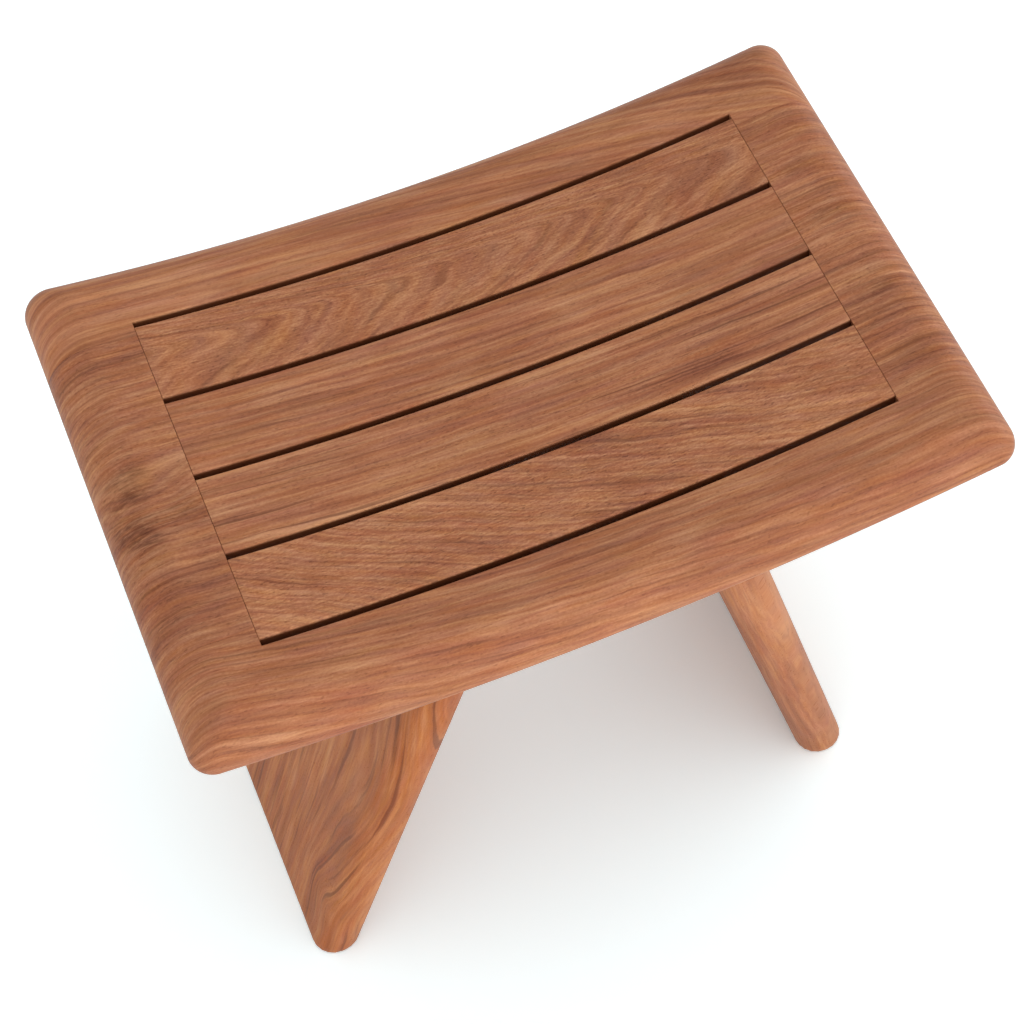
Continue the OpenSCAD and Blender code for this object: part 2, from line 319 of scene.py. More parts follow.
def rail_loop(z, along, inner, ease):
    """One closed section of the rear rail for each arc length in along. It runs from the slat
    field's edge over the top, the rounded outer edge, the wall and the lower rounding, back under
    the rail to the field's edge, and then round the inner side. The outer wall follows the seat's
    rounded corner. Gives the points, grain and wear, and how many columns come before the inner side."""
    r, under, thick = z.edge_radius, z.under_radius, z.frame_thickness
    half = z.seat_depth / 2
    field = half - z.rail_width
    u = np.maximum(np.abs(along) - round_start(z), 0)[:, None]
    even = np.zeros_like(u)
    ax = np.clip(u / r, 0, 1)
    c, k = z.corner_radius / r, 1 - z.corner_radius / r
    limit = np.where(ax <= k, 1.0, k + np.sqrt(np.maximum(c * c - (ax - k) ** 2, 0)))
    wall = half - r + r * limit

    flat = steps(field + z.ease, half - r, ROUND_STEP)[:-1][None, :] + even
    b = TOP_TURNS[None, :]
    top_y = np.concatenate([flat, half - r + r * np.sin(b) * limit], 1)
    top_run = np.concatenate([flat, half - r + r * b * limit], 1)
    share = corner_share(z, ax + 0 * top_y, np.clip((top_y - half + r) / r, 0, 1))
    share[:, -1] = 1.0
    top_d = drop(z, share)

    g = LOW_TURNS[None, :]
    back = np.linspace(0, 1, 9)[None, 1:]
    low_y = wall - under * (1 - np.cos(g))
    low_run = top_run[:, -1:] - under * g
    under_y = np.concatenate([low_y, low_y[:, -1:] + back * (field - low_y[:, -1:])], 1)
    under_run = np.concatenate([low_run, low_run[:, -1:] + back * (field - low_run[:, -1:])], 1)
    ex, ey, rp = r - u, half - under_y, z.corner_radius
    turned = rp - np.hypot(rp - ex, rp - ey)
    inset = np.where((ex < rp) & (ey < rp), turned, np.minimum(ex, ey))
    rise = lift(z, inset)
    rise[:, 0] = under
    under_d = thick - rise

    level, base = drop(z, ax), thick - lift(z, r - u)
    w = np.radians(np.linspace(0, 90, 5))[None, :]
    ease_y = inner + ease * (1 - np.cos(w)) + even
    ease_d = level + ease * (1 - np.sin(w))
    if inner < field:
        middle = (inner + field) / 2
        side_y = [middle + even, inner + even]
        side_d = [base, base]
        last_y, last_d = [ease_y, middle + even], [ease_d, level]
    else:
        side_y, side_d, last_y, last_d = [], [], [ease_y[:, :-1]], [ease_d[:, :-1]]
    up = SIDE_SHARES[None, :]
    side_y += [inner + 0 * up + even, *last_y]
    side_d += [level + ease + up * (base - level - ease), *last_d]
    side_y, side_d = np.concatenate(side_y, 1), np.concatenate(side_d, 1)

    y = np.concatenate([top_y, under_y, side_y], 1)
    d = np.concatenate([top_d, under_d, side_d], 1)
    across = np.concatenate([top_run, under_run, side_y], 1)
    run = np.sign(along)[:, None] * (round_start(z) + r * np.arcsin(ax))
    run = np.where(u > 0, run, along[:, None])
    grain = np.stack([run + 0 * y, across, d], -1)
    wear = np.zeros_like(y)
    wear[:, -ease_y.shape[1] :] = 1.0 if inner == field else 0.0
    return on_dish(z, along[:, None] + 0 * y, y, d), grain, wear, top_y.shape[1] + under_y.shape[1]


def rail_shell(z):
    """The rear rail as one shell: the part beside the slats, the two wider ends, the steps of the
    notch between them, and the thin walls that close the ends."""
    field = z.seat_depth / 2 - z.rail_width
    stop, start, r = slat_end(z), round_start(z), z.edge_radius
    middle = steps(-stop, stop, BOARD_STEP)
    turns = np.radians([*range(3, 87, 3), 87.5, 88.5, 89.2, 90])
    level = steps(stop, start, ROUND_STEP)[1:]
    beyond = np.concatenate([[stop, stop + z.ease / 3], level, start + r * np.sin(turns)])
    parts, faces, count, rings = [], [], 0, {}
    for name, along, inner, ease in (
        ("field", middle, field, z.ease),
        ("right", beyond, field - z.notch, z.joint_ease),
        ("left", -beyond, field - z.notch, z.joint_ease),
    ):
        points, grain, wear, shared = rail_loop(z, along, inner, ease)
        rows, columns = points.shape[:2]
        if name != "field":
            wear[0, points[0, :, 1] < field] = -1.0
        faces += list(grid_faces(rows, columns, count))
        rings[name] = (count, rows, columns)
        parts.append((points.reshape(-1, 3), grain.reshape(-1, 3), wear.ravel()))
        count += rows * columns
    middle_first, middle_rows, middle_columns = rings["field"]
    for name, row in (("right", middle_rows - 1), ("left", 0)):
        first, rows, columns = rings[name]
        beside = middle_first + row * middle_columns
        faces.append(first + (rows - 1) * columns + np.arange(columns))
        out, back = np.arange(shared - 1, columns), np.arange(middle_columns - 1, shared - 1, -1)
        faces.append(np.concatenate([first + out, [first], beside + back]))
    return [np.concatenate(p) for p in zip(*parts)] + [faces]


def end_profile(z):
    """Closed outline of an end rail, as columns of arc length, depth, distance along the surface,
    outward normal and wear: along the top from the slats, round the end, down the wall, round below
    and back, then up the face at the slats."""
    stop, start, r = slat_end(z) + JOINT_HAIR, round_start(z), z.edge_radius
    under, thick, ease = z.under_radius, z.frame_thickness, z.joint_ease
    w, b, g = EASE_TURNS, TOP_TURNS, LOW_TURNS
    cos_g, sin_g = np.cos(g), np.sin(g)
    s = steps(stop + ease, start, ROUND_STEP)[1:-1]
    end_run = start + r * pi / 2
    low, low_run = start + r - under, end_run - under * pi / 2
    f = np.linspace(0, 1, 12)[1:]
    parts = [
        (stop + ease * (1 - np.cos(w)), ease * (1 - np.sin(w)), stop, 0.0, -1.0, -np.cos(w)),
        (s, 0.0, s, 0.0, -1.0, 0.0),
        (start + r * np.sin(b), r * (1 - np.cos(b)), start + r * b, np.sin(b), -np.cos(b), 0.0),
        (low + under * cos_g, thick - under * (1 - sin_g), end_run - under * g, cos_g, sin_g, 0.0),
        (low + f * (stop - low), thick, low_run + f * (stop - low_run), 0.0, 1.0, 0.0),
        (stop, ease + SIDE_SHARES * (thick - ease), stop, 0.0, 0.0, 0.0),
    ]
    return np.concatenate([np.stack(np.broadcast_arrays(*part), -1) for part in parts])


def end_shell(z, side):
    """An end rail as one shell: its outline carried from front to rear between the long rails. Near
    each joint the outline draws in by the joint's ease."""
    y, inset = (v[:, None] for v in eased_run(z.seat_depth / 2 - z.rail_width - z.notch, z.joint_ease))
    s, d, run, ns, nd, worn = (c[None, :] for c in end_profile(z).T)
    s, d = s - inset * ns, d - inset * nd
    grain = np.stack([side * run + 0 * s, y + 0 * s, d], -1)
    return tube(on_dish(z, side * s, y + 0 * s, d), grain, worn + 0 * s)


def tube(points, grain, wear):
    """A closed shell from rows of closed sections: the sides as a grid, and a face over each end."""
    rows, columns = points.shape[:2]
    faces = list(grid_faces(rows, columns))
    faces += [np.arange(columns), (rows - 1) * columns + np.arange(columns)]
    return points.reshape(-1, 3), grain.reshape(-1, 3), wear.ravel(), faces


def together(shells):
    """Several shells as one set of points and faces."""
    points, grain, wear, faces = zip(*shells)
    start = np.cumsum([0] + [len(p) for p in points])
    moved = [face + first for group, first in zip(faces, start) for face in group]
    return np.concatenate(points), np.concatenate(grain), np.concatenate(wear), moved


def board_section(width, height, radius, step):
    """Closed outline of a board with four corners of one radius, as columns of (across, down) from
    the middle of the top, outward normal and wear, which is 1 round the upper corners."""
    half, low = width / 2 - radius, height - radius
    corners = []
    for y, d, first in ((half, radius, -90), (half, low, 0), (-half, low, 90), (-half, radius, 180)):
        a = np.radians(first + np.linspace(0, 90, 6))
        n = np.stack([np.cos(a), np.sin(a)], -1)
        worn = np.full((6, 1), float(first in (-90, 180)))
        corners.append(np.concatenate([np.array([y, d]) + radius * n, n, worn], -1))
    outline = []
    for now, after in zip(corners, corners[1:] + corners[:1]):
        gap = np.hypot(*(after[0, :2] - now[-1, :2]))
        between = now[-1] + steps(0, 1, step / gap)[1:-1, None] * (after[0] - now[-1])
        between[:, 4] = 0
        outline += [now, between]
    return np.concatenate(outline)


def slat_shell(z, middle, width):
    """A slat as one shell: its eased section carried along the hollow, a hair short of the end
    rails, with its ends eased."""
    s, inset = (v[:, None] for v in eased_run(slat_end(z) - JOINT_HAIR, z.joint_ease))
    section = board_section(width, z.slat_thickness, z.ease, BOARD_STEP)
    c, d, nc, nd, worn = (v[None, :] for v in section.T)
    c, d = middle + c - inset * nc, d - inset * nd
    grain = np.stack([s + 0 * c, c, d], -1)
    return tube(on_dish(z, s + 0 * c, c, d), grain, np.where(inset > 0, -1.0, worn + 0 * c))


# ---- Shape of the legs and the underframe -----------------------------------


def plank_point(z, thick, across, up):
    """A place in the right leg's plank: thick is the distance out of the plank's outer face (so it
    is negative inside), across is y, and up runs along the plank from the floor."""
    t = z.splay
    x = z.foot_spread / 2 + thick * cos(t) - up * sin(t)
    return np.stack(np.broadcast_arrays(x, across, thick * sin(t) + up * cos(t)), -1)


def up_to(z, thick, height=None, down=None):
    """Length along the plank to a level height, (height - thick sin t) / cos t, or to the cylinder
    of radius R + down about the hollow's axis, the lower root of |place - axis| = R + down."""
    t = z.splay
    if height is not None:
        return (height - thick * sin(t)) / cos(t)
    x = z.foot_spread / 2 + thick * cos(t)
    h = thick * sin(t) - z.seat_height - z.dish_radius
    b = -x * sin(t) + h * cos(t)
    return -b - np.sqrt(b * b - x * x - h * h + (z.dish_radius + down) ** 2)


def leg_shell(z):
    """The right leg as two shells: the plank, whose rounded section runs from the level foot to the
    underside of the rails, and the tongue that goes on between the rails to the slats. The foot's
    lower edge is softened by 1.2 mm."""
    y, d, ny, nd, _ = board_section(z.leg_width, z.leg_thickness, z.leg_edge_radius, 5 * MM).T
    soft, rows = 1.2 * MM, 79
    inset = np.concatenate([soft * (1 - np.sin(EASE_TURNS)), np.zeros(rows)])[:, None]
    rise = np.concatenate([soft * (1 - np.cos(EASE_TURNS)), np.full(rows, soft)])[:, None]
    share = np.concatenate([np.zeros(4), np.linspace(0, 1, rows + 1)[1:]])[:, None]
    y, d = y - inset * ny, d - inset * nd
    foot, top = up_to(z, -d, height=z.foot_clearance), up_to(z, -d, down=z.frame_thickness)
    up = foot + rise + share * (top - foot - soft)
    wear = np.zeros_like(up)
    wear[:4] = 1.0
    plank = tube(plank_point(z, -d, y, up), np.stack([up, y, d], -1), wear)

    field = z.seat_depth / 2 - z.rail_width
    y = np.concatenate([steps(-field, field, 8 * MM), steps(field, -field, 8 * MM)])
    d = np.where(np.arange(len(y)) < len(y) // 2, 0.0, z.leg_thickness)
    low, high = up_to(z, -d, down=z.frame_thickness), up_to(z, -d, down=z.slat_thickness)
    up = low + np.linspace(0, 1, 5)[:, None] * (high - low)
    y, d = y + 0 * up, d + 0 * up
    tongue = tube(plank_point(z, -d, y, up), np.stack([up, y, d], -1), np.zeros_like(up))
    return together([plank, tongue])


def inner_face(z, height):
    """Distance from the middle of the bench to a leg's inner face at a height."""
    return z.foot_spread / 2 - height * tan(z.splay) - z.leg_thickness / cos(z.splay)


def stretcher_shell(z):
    """The stretcher: a board's eased section carried from leg to leg. Each of its lines ends at the
    leaning inner faces, so a point's place is its share of the way times the half length there."""
    y, d, _, _, worn = board_section(z.stretcher_thickness, z.stretcher_height, 3 * MM, 5 * MM).T
    height = z.stretcher_middle + z.stretcher_height / 2 - d
    x = np.linspace(-1, 1, 48)[:, None] * inner_face(z, height)
    y, height = y + 0 * x, height + 0 * x
    grain = np.stack([x, height - z.stretcher_middle, y], -1)
    return tube(np.stack([x, y, height], -1), grain, worn + 0 * x)


# ---- Screws and glides ------------------------------------------------------


def screw_shell(full, at, into):
    """A countersunk screw of a full length: a profile of radius and depth turned about the axis, with
    a thread whose depth follows sin(turn + 2 pi depth / pitch). A cross recess sinks the head's face
    where |u| < 0.75 mm and |v| < 2.5 mm or the other way round, and tapers out."""
    head, shank, sunk, recess = 8 * MM, 4 * MM, 0.5 * MM, 1.6 * MM
    cone, thread, pitch, point = 2.4 * MM, 0.25 * MM, 1.6 * MM, 3 * MM
    turn = np.linspace(0, 2 * pi, 48, endpoint=False)[None, :]
    r_face = np.linspace(0.02, 1, 12)[:, None] * head / 2
    u, v = np.abs(r_face * np.cos(turn)), np.abs(r_face * np.sin(turn))
    arm = np.clip((0.75 * MM - np.minimum(u, v)) / (0.2 * MM), 0, 1)
    reach = np.clip((2.5 * MM - np.maximum(u, v)) / MM, 0, 1)
    down = np.linspace(0, 1, 5)[1:, None]
    d_body = np.linspace(sunk + cone + 0.4 * MM, full - point, 40)[:, None]
    tip = np.linspace(0, 1, 6)[1:, None]
    profile = [
        (r_face, sunk + recess * arm * reach),
        (head / 2 + down * (shank / 2 - head / 2), sunk + down * cone),
        (shank / 2 - thread * (1 + np.sin(turn + 2 * pi * d_body / pitch)) / 2, d_body),
        ((shank / 2 - 0.2 * MM) * (1 - 0.97 * tip), full - point + tip * 2.95 * MM),
    ]
    radius, depth = (np.concatenate([part + 0 * turn for part in parts]) for parts in zip(*profile))
    local = np.stack([radius * np.cos(turn), radius * np.sin(turn), depth], -1)
    return tube(local @ np.array(into).T + np.array(at), local, np.zeros_like(radius))


def glide_shell(x, y):
    """A rubber glide: a ring's section turned about the vertical through x and y. The lower face has
    softened edges and one shallow groove, half_deep (1 + cos(pi off / half_wide)) deep."""
    outer, hole, thick, soft = 9 * MM, 4.1 * MM, 5 * MM, 0.6 * MM
    groove, half_wide, half_deep = 6.4 * MM, 0.8 * MM, 0.25 * MM
    turn = np.linspace(0, 2 * pi, 65)[:, None]
    turn[-1] = 0
    b = np.radians(np.linspace(0, 90, 5))
    r_low = np.linspace(hole + soft, outer - soft, 22)
    off = r_low - groove
    ripple = np.where(np.abs(off) < half_wide, half_deep * (1 + np.cos(pi * off / half_wide)), 0)
    r_out, r_in = outer - soft + soft * np.sin(b[1:]), hole + soft * (1 - np.cos(b[:-1]))
    h_out, h_in = soft * (1 - np.cos(b[1:])), soft * (1 - np.sin(b[:-1]))
    radius = np.concatenate([r_low, r_out, [outer, hole], r_in]) + 0 * turn
    height = np.concatenate([ripple, h_out, [thick, thick], h_in]) + 0 * turn
    local = np.stack([radius * np.cos(turn), radius * np.sin(turn), height], -1)
    points = local + np.array([x, y, 0.0])
    faces = list(grid_faces(*radius.shape))
    return points.reshape(-1, 3), local.reshape(-1, 3), np.zeros(radius.size), faces


# ---- Finishes ---------------------------------------------------------------


class Shader:
    """A node tree written as arithmetic. Every value may be a number or a socket."""

    def __init__(self, name=None, tree=None):
        """Starts a new material of this name, or empties the tree that is given."""
        if name:
            self.material = bpy.data.materials.new(name)
            self.material.use_nodes = True
            tree = self.material.node_tree
        self.tree = tree
        self.tree.nodes.clear()

    def node(self, kind, inputs=None, **settings):
        made = self.tree.nodes.new(kind)
        for key, value in settings.items():
            setattr(made, key, value)
        for key, value in (inputs or {}).items():
            if isinstance(value, bpy.types.NodeSocket):
                self.tree.links.new(value, made.inputs[key])
            else:
                made.inputs[key].default_value = value
        return made

    def math(self, operation, *values):
        return self.node("ShaderNodeMath", dict(enumerate(values)), operation=operation).outputs[0]

    def add(self, a, b):
        return self.math("ADD", a, b)

    def times(self, a, b):
        return self.math("MULTIPLY", a, b)

    def total(self, *terms):
        """Sum of weight times value for pairs of value and weight, or of bare values."""
        result = 0.0
        for term in terms:
            term = self.times(*term) if isinstance(term, tuple) else term
            result = term if result == 0.0 else self.add(result, term)
        return result

    def root(self, a, b):
        """sqrt(a^2 + b^2)"""
        return self.math("SQRT", self.add(self.times(a, a), self.times(b, b)))

    def fall(self, power):
        """e^-power"""
        return self.math("POWER", 2.718, self.times(power, -1.0))

    def hump(self, a, c, at_a, at_c, size_a, size_c):
        """exp(-((a - at_a) / size_a)^2 - ((c - at_c) / size_c)^2)"""
        u = self.times(self.add(a, -at_a), 1 / size_a)
        v = self.times(self.add(c, -at_c), 1 / size_c)
        return self.fall(self.add(self.times(u, u), self.times(v, v)))

    def place(self, attribute=None):
        """The three parts of the place in mm, from Object coordinates or from an attribute."""
        if attribute:
            place = self.node("ShaderNodeAttribute", attribute_name=attribute).outputs["Vector"]
        else:
            place = self.node("ShaderNodeTexCoord").outputs["Object"]
        parts = self.node("ShaderNodeSeparateXYZ", {0: place}).outputs
        return [self.times(part, 1000.0) for part in parts]

    def noise(self, x, y, z, detail=2.0, rough=0.5):
        """Soft noise from -0.5 to 0.5 over a place whose parts are already divided by their lengths."""
        vector = self.node("ShaderNodeCombineXYZ", {0: x, 1: y, 2: z}).outputs[0]
        inputs = {"Vector": vector, "Scale": 1.0, "Detail": detail, "Roughness": rough}
        return self.add(self.node("ShaderNodeTexNoise", inputs).outputs["Fac"], -0.5)

    def spots(self, place, lengths, detail=2.0, rough=0.5):
        """Noise over a place in mm, in spots of three lengths in mm."""
        return self.noise(*(self.times(p, 1 / s) for p, s in zip(place, lengths)), detail, rough)

    def band(self, value, low, high):
        """0 below low, 1 above high, and eased between them."""
        inputs = {"Value": value, "From Min": low, "From Max": high}
        return self.node("ShaderNodeMapRange", inputs, interpolation_type="SMOOTHSTEP").outputs["Result"]

    def mix(self, share, a, b):
        a, b = (c if isinstance(c, bpy.types.NodeSocket) else (*c, 1.0) for c in (a, b))
        return self.node("ShaderNodeMix", {0: share, 6: a, 7: b}, data_type="RGBA").outputs[2]

    def ramp(self, value, stops):
        made = self.node("ShaderNodeValToRGB", {0: value})
        ramp = made.color_ramp
        while len(ramp.elements) < len(stops):
            ramp.elements.new(0.5)
        for element, (place, colour) in zip(ramp.elements, stops):
            element.position = place
            element.color = (*colour, 1.0)
        return made.outputs["Color"]

    def show(self, shader, output="ShaderNodeOutputMaterial"):
        """Joins a shader to the tree's output."""
        self.tree.links.new(shader.outputs[0], self.node(output).inputs["Surface"])

    def close(self, colour, roughness, height, distance, **fixed):
        """The surface itself: colour, roughness and bump, with its fixed numbers set on the shader."""
        bump = self.node("ShaderNodeBump", {"Height": height, "Distance": distance, "Strength": 1.0})
        inputs = {"Base Color": colour, "Roughness": roughness, "Normal": bump.outputs[0], **fixed}
        self.show(self.node("ShaderNodeBsdfPrincipled", inputs))
        return self.material


def teak(
    name, figure, seed, rings=1.0, pores=1.0, value=0.98, rich=1.0, wave=1.0, through=0.25,
    stretch=1.0, spread=1.0, marks=None, gaps=None, attribute="grain"
):
    """Oiled teak. figure turns the place along and across the grain, in mm, into a ring distance q;
    noise drawn out along the rings then makes broad rings, fine rings and streaks, and noise along
    the board makes fibres, flecks and open pores.

    rings and pores scale the contrast of the two kinds of noise, value and rich the board's
    brightness and depth of colour, and wave the wander of the rings; on the legs and the left end,
    value also paints light and shade into the wood. through is how fast the rings pass with depth,
    and stretch and spread make the figure longer and wider. marks gives darker places. Edges with
    wear are paler, and those with wear below zero are dark joints. gaps gives how deep, how far
    across and how far along the sides of the drain gaps reach, in mm, where painted shade darkens them."""
    t = Shader(name)
    f = finish()
    a, c, d = t.place(attribute)
    if not attribute:
        a, c = c, a

    def flow(length, lane, width, number, detail=2.0, rough=0.6):
        """Noise drawn out along the grain: its length along it and its width across a lane, in mm."""
        return t.noise(t.times(a, 1 / length), t.times(lane, 1 / width), seed + number, detail, rough)

    wander = flow(110 * stretch, c, 38, 0.0, 1.0, 0.5)
    small = flow(20 * stretch, c, 10, 3.0, 2.0, 0.5)
    q = t.total(figure(t, a, c), (wander, 8.0 * wave), (small, 2.4 * wave), (d, through))
    side = t.total(c, (small, 2.0), (d, through))
    broad = flow(150 * stretch, q, 12 * spread, 7.0)
    fine = flow(75 * stretch, q, 3.0 * spread, 11.0, 3.0, 0.65)
    lines = flow(80 * stretch, q, 2.2 * spread, 41.0, 2.0, 0.5)
    warm = flow(30 * stretch, q, 6, 51.0)
    deep = flow(24 * stretch, q, 4, 61.0)
    fibre = flow(14 * stretch, side, 1.1, 17.0)
    fleck = flow(1.6, side, 1.0, 19.0, 1.0, 0.5)
    pore = flow(3.4, side, 0.9, 31.0, 1.0, 0.5)
    tone = flow(60, c, 34, 23.0, 2.0, 0.5)

    rays = t.total((fibre, 0.5), (fleck, 0.3))
    shade = t.total((broad, 0.4 * rings), (fine, 0.9), (rays, pores), (tone, 0.35), 0.57)
    stops = [(0.05, f.teak_dark), (0.32, f.teak_brown), (0.55, f.teak_mid), (0.95, f.teak_light)]
    colour = t.ramp(shade, stops)
    streak = t.band(t.add(lines, t.times(broad, -0.4)), 0.07, 0.2)
    colour = t.mix(t.times(streak, 0.45 * rings), colour, f.teak_dark)
    holes = t.band(t.add(pore, t.times(fine, -0.25)), 0.11, 0.22)
    colour = t.mix(t.times(holes, 0.32 * pores), colour, f.pore)
    if marks:
        colour = t.mix(marks(t, a, c), colour, f.pore)
    worn = t.node("ShaderNodeAttribute", attribute_name="wear").outputs["Fac"] if attribute else 0.0
    edge = t.times(t.math("MAXIMUM", worn, 0.0), t.band(tone, -0.15, 0.2))
    colour = t.mix(t.times(edge, 0.22), colour, f.teak_light)
    hue = {"Hue": t.total((warm, 0.02), 0.5), "Saturation": t.total((deep, 0.2), rich), "Value": value}
    colour = t.node("ShaderNodeHueSaturation", {**hue, "Color": colour}).outputs[0]
    if attribute:
        colour = t.mix(t.math("MAXIMUM", t.times(worn, -0.8), 0.0), colour, f.dark_joint_and_gap_shade)
    # Painted shade: the sides of the drain gaps, below the eased edge, are darkened toward the gap shade
    # colour.
    if gaps:
        bottom, across, along = gaps
        inside = t.times(t.band(d, 0.9, 2.4), t.band(d, bottom - 0.4, bottom - 1.2))
        for part, limit in ((c, across), (a, along)):
            inside = t.times(inside, t.math("LESS_THAN", t.math("ABSOLUTE", part), limit))
        colour = t.mix(t.times(inside, 0.9), colour, f.dark_joint_and_gap_shade)
    rough = t.total((fine, 0.12), (tone, 0.12), (holes, 0.14), (edge, -0.08), f.roughness)
    height = t.total((fibre, 0.4), (fine, 0.3), (holes, -0.6))
    return t.close(colour, rough, height, 0.00014, **{"Specular IOR Level": 0.06})


def straight(tilt, bend=0.0, at=0.0, start=0.0):
    """Ring distance of straight grain: c - tilt a + bend max(a - at, 0)^2 + start."""

    def figure(t, a, c):
        beyond = t.math("MAXIMUM", t.add(a, -at), 0.0)
        return t.total(c, (a, -tilt), (t.times(beyond, beyond), bend), start)

    return figure


def arched(centre, drift, below, above, soft):
    """Ring distance of arches that point along the board: drift a + below x + (above - below)
    (x + sqrt(x^2 + soft^2)) / 2 with x = c - centre, so the rings cross at two slopes that meet in a
    rounded tip."""

    def figure(t, a, c):
        x = t.add(c, -centre)
        return t.total((a, drift), (x, (above + below) / 2), (t.root(x, soft), (above - below) / 2))

    return figure


def with_knots(base, knots):
    """A figure whose rings swell round each knot (a, c, size_a, size_c, swell)."""

    def figure(t, a, c):
        humps = [(t.hump(a, c, ka, kc, sa, sc), swell) for ka, kc, sa, sc, swell in knots]
        return t.total(base(t, a, c), *humps)

    return figure


def smudges(places):
    """Dark places (a, c, size_a, size_c, strength), broken up by fine noise."""

    def marks(t, a, c):
        grain = t.band(t.noise(t.times(a, 1 / 9), t.times(c, 1 / 1.6), 5.0, 3.0, 0.6), -0.28, 0.22)
        humps = [(t.hump(a, c, pa, pc, sa, sc), weight) for pa, pc, sa, sc, weight in places]
        return t.times(t.math("MINIMUM", t.total(*humps), 0.8), grain)

    return marks


def rail_gap():
    """Where the painted shade on a long rail's side at the drain gap reaches: its depth, across and
    along, in mm.
    """
    z = sizes()
    return z.frame_thickness / MM, (z.seat_depth / 2 - z.rail_width) / MM + 0.3, slat_end(z) / MM


def teak_rear_rail():
    figure = straight(0.0, 0.0006, -100.0)
    dark = smudges([(196, 128, 26, 16, 0.35), (150, 135, 40, 10, 0.2)])
    return teak(
        "teak rear rail", figure, 1.3, rings=0.7, pores=0.6, stretch=1.4, marks=dark, gaps=rail_gap()
    )


def teak_front_rail():
    figure = straight(-0.13, -0.00012, -200.0)
    return teak(
        "teak front rail", figure, 4.1, rings=0.8, pores=0.8, value=0.965, stretch=1.4, gaps=rail_gap()
    )


def teak_left_end():
    knots = [(-204, -3, 26, 15, 11.0), (-180, 40, 60, 26, -4.0)]
    dark = smudges([
        (-216, -21, 9, 6, 1.2), (-209, -28, 8, 5, 0.8), (-224, -15, 7, 4, 0.6),
        (-208, 6, 17, 12, 0.4), (-211, 12, 14, 2.5, 0.5), (-213, -1, 10, 4, 0.5),
        (-186, -18, 8, 8, 0.35), (-200, -20, 30, 24, 0.22),
    ])
    figure = with_knots(straight(0.0, start=40.0), knots)
    # value 0.925 darkens this end's wood: painted shade on its left-facing roll.
    return teak("teak left end", figure, 7.7, rings=0.8, value=0.925, wave=0.7, through=0.05, marks=dark)


def teak_right_end():
    dark = smudges([
        (199, -39, 12, 5, 0.65), (199, 18, 12, 3.5, 0.5), (205, -75, 30, 1.2, 0.4),
        (193, 54, 9, 6, 0.45), (202, -86, 12, 5, 0.35), (186, -32, 9, 1.5, 0.5),
    ])
    figure = straight(0.0, start=90.0)
    return teak("teak right end", figure, 9.2, rings=0.8, wave=0.6, through=0.05, marks=dark)


def teak_slat(number):
    """The wood of a slat, numbered from 0 at the rear."""
    figure, look = [
        (
            arched(82.0, 0.17, -0.36, 1.7, 2.5),
            dict(rings=0.75, pores=1.3, value=0.96, stretch=0.8, spread=0.75),
        ),
        (straight(-0.04, start=20.0), dict(rings=0.7, pores=0.8, stretch=1.4)),
        (straight(-0.03, start=60.0), dict(rings=1.5, pores=0.9, stretch=1.6)),
        (
            straight(-0.54, -0.0003, -300.0),
            dict(rings=0.9, pores=1.3, value=1.0, stretch=0.8, spread=0.8),
        ),
    ][number]
    # Painted shade covers the whole of each slat's sides at the drain gaps.
    return teak(f"teak slat {number + 1}", figure, 12.0 + 5.3 * number, gaps=(18, 200, 200), **look)


def teak_left_leg():
    figure = with_knots(straight(0.0), [(230, -115, 110, 40, 24.0), (60, -95, 30, 22, -8.0)])
    # value 1.05 lightens this leg's wood: painted light, standing in for light its left-facing outer
    # face lacks.
    return teak(
        "teak left leg", figure, 37.0, rings=1.5, pores=0.5, value=1.05, rich=1.1, wave=1.2,
        through=-0.7, stretch=1.8, spread=1.7
    )


def teak_right_leg():
    # value 1.03 lightens this leg's wood: painted light.
    return teak(
        "teak right leg", straight(0.02), 43.0, rings=0.8, pores=0.6, value=1.03, rich=1.05,
        through=0.6, stretch=1.5, spread=1.3
    )


def teak_stretcher():
    return teak("teak stretcher", straight(0.03), 51.0)


def teak_cleats():
    return teak("teak cleats", straight(0.02), 57.0, attribute=None)


def beech():
    """Beech: pale, with short fine flecks along the dowel and a little tone variation."""
    t = Shader("beech dowel")
    place = t.place()
    fleck = t.spots(place, (2, 0.9, 0.9))
    tone = t.spots(place, (12, 9, 9))
    colour = t.mix(t.band(t.total(fleck, (tone, 0.5)), -0.2, 0.3), finish().beech, finish().teak_light)
    return t.close(colour, t.total((fleck, 0.2), 0.6), fleck, 0.00008)


def stainless():
    """Stainless steel: turned rings round the head and a brushed, slightly uneven gloss."""
    t = Shader("stainless screw")
    steel = finish().steel
    x, y, h = place = t.place("grain")
    ring = t.noise(t.times(t.root(x, y), 1 / 0.18), t.times(h, 1 / 0.4), 2.0)
    stain = t.spots(place, (2.4, 2.4, 2.4), 3.0, 0.6)
    colour = t.mix(t.band(stain, 0.05, 0.3), steel, [0.4 * c for c in steel])
    return t.close(colour, t.total((ring, 0.15), (stain, 0.2), 0.32), ring, 0.00002, Metallic=1.0)


def rubber():
    """Black rubber: a fine moulded pebble with dusty, scuffed patches."""
    t = Shader("rubber glide")
    black = finish().rubber
    place = t.place()
    pebble = t.spots(place, (0.5, 0.5, 0.5))
    dust = t.spots(place, (6, 6, 6), 4.0, 0.6)
    colour = t.mix(t.band(dust, 0.0, 0.35), black, [2.6 * c for c in black])
    return t.close(colour, t.total((dust, 0.2), 0.7), pebble, 0.00006)


# ---- Building ---------------------------------------------------------------


class BENCH_OT_rails(Operator):
    """The front and rear rails: a rounded section carried along the hollow and over the ends"""

    bl_idname = "bench.rails"
    bl_label = "Long rails"

    def execute(self, context):
        rear = rail_shell(sizes())
        turned = np.array([1, -1, 1])
        front = (rear[0] * turned, rear[1] * turned, *rear[2:])
        make_piece("rail_rear", rear, ["rear_rail"], teak_rear_rail())
        make_piece("rail_front", front, ["front_rail"], teak_front_rail())
        return {"FINISHED"}


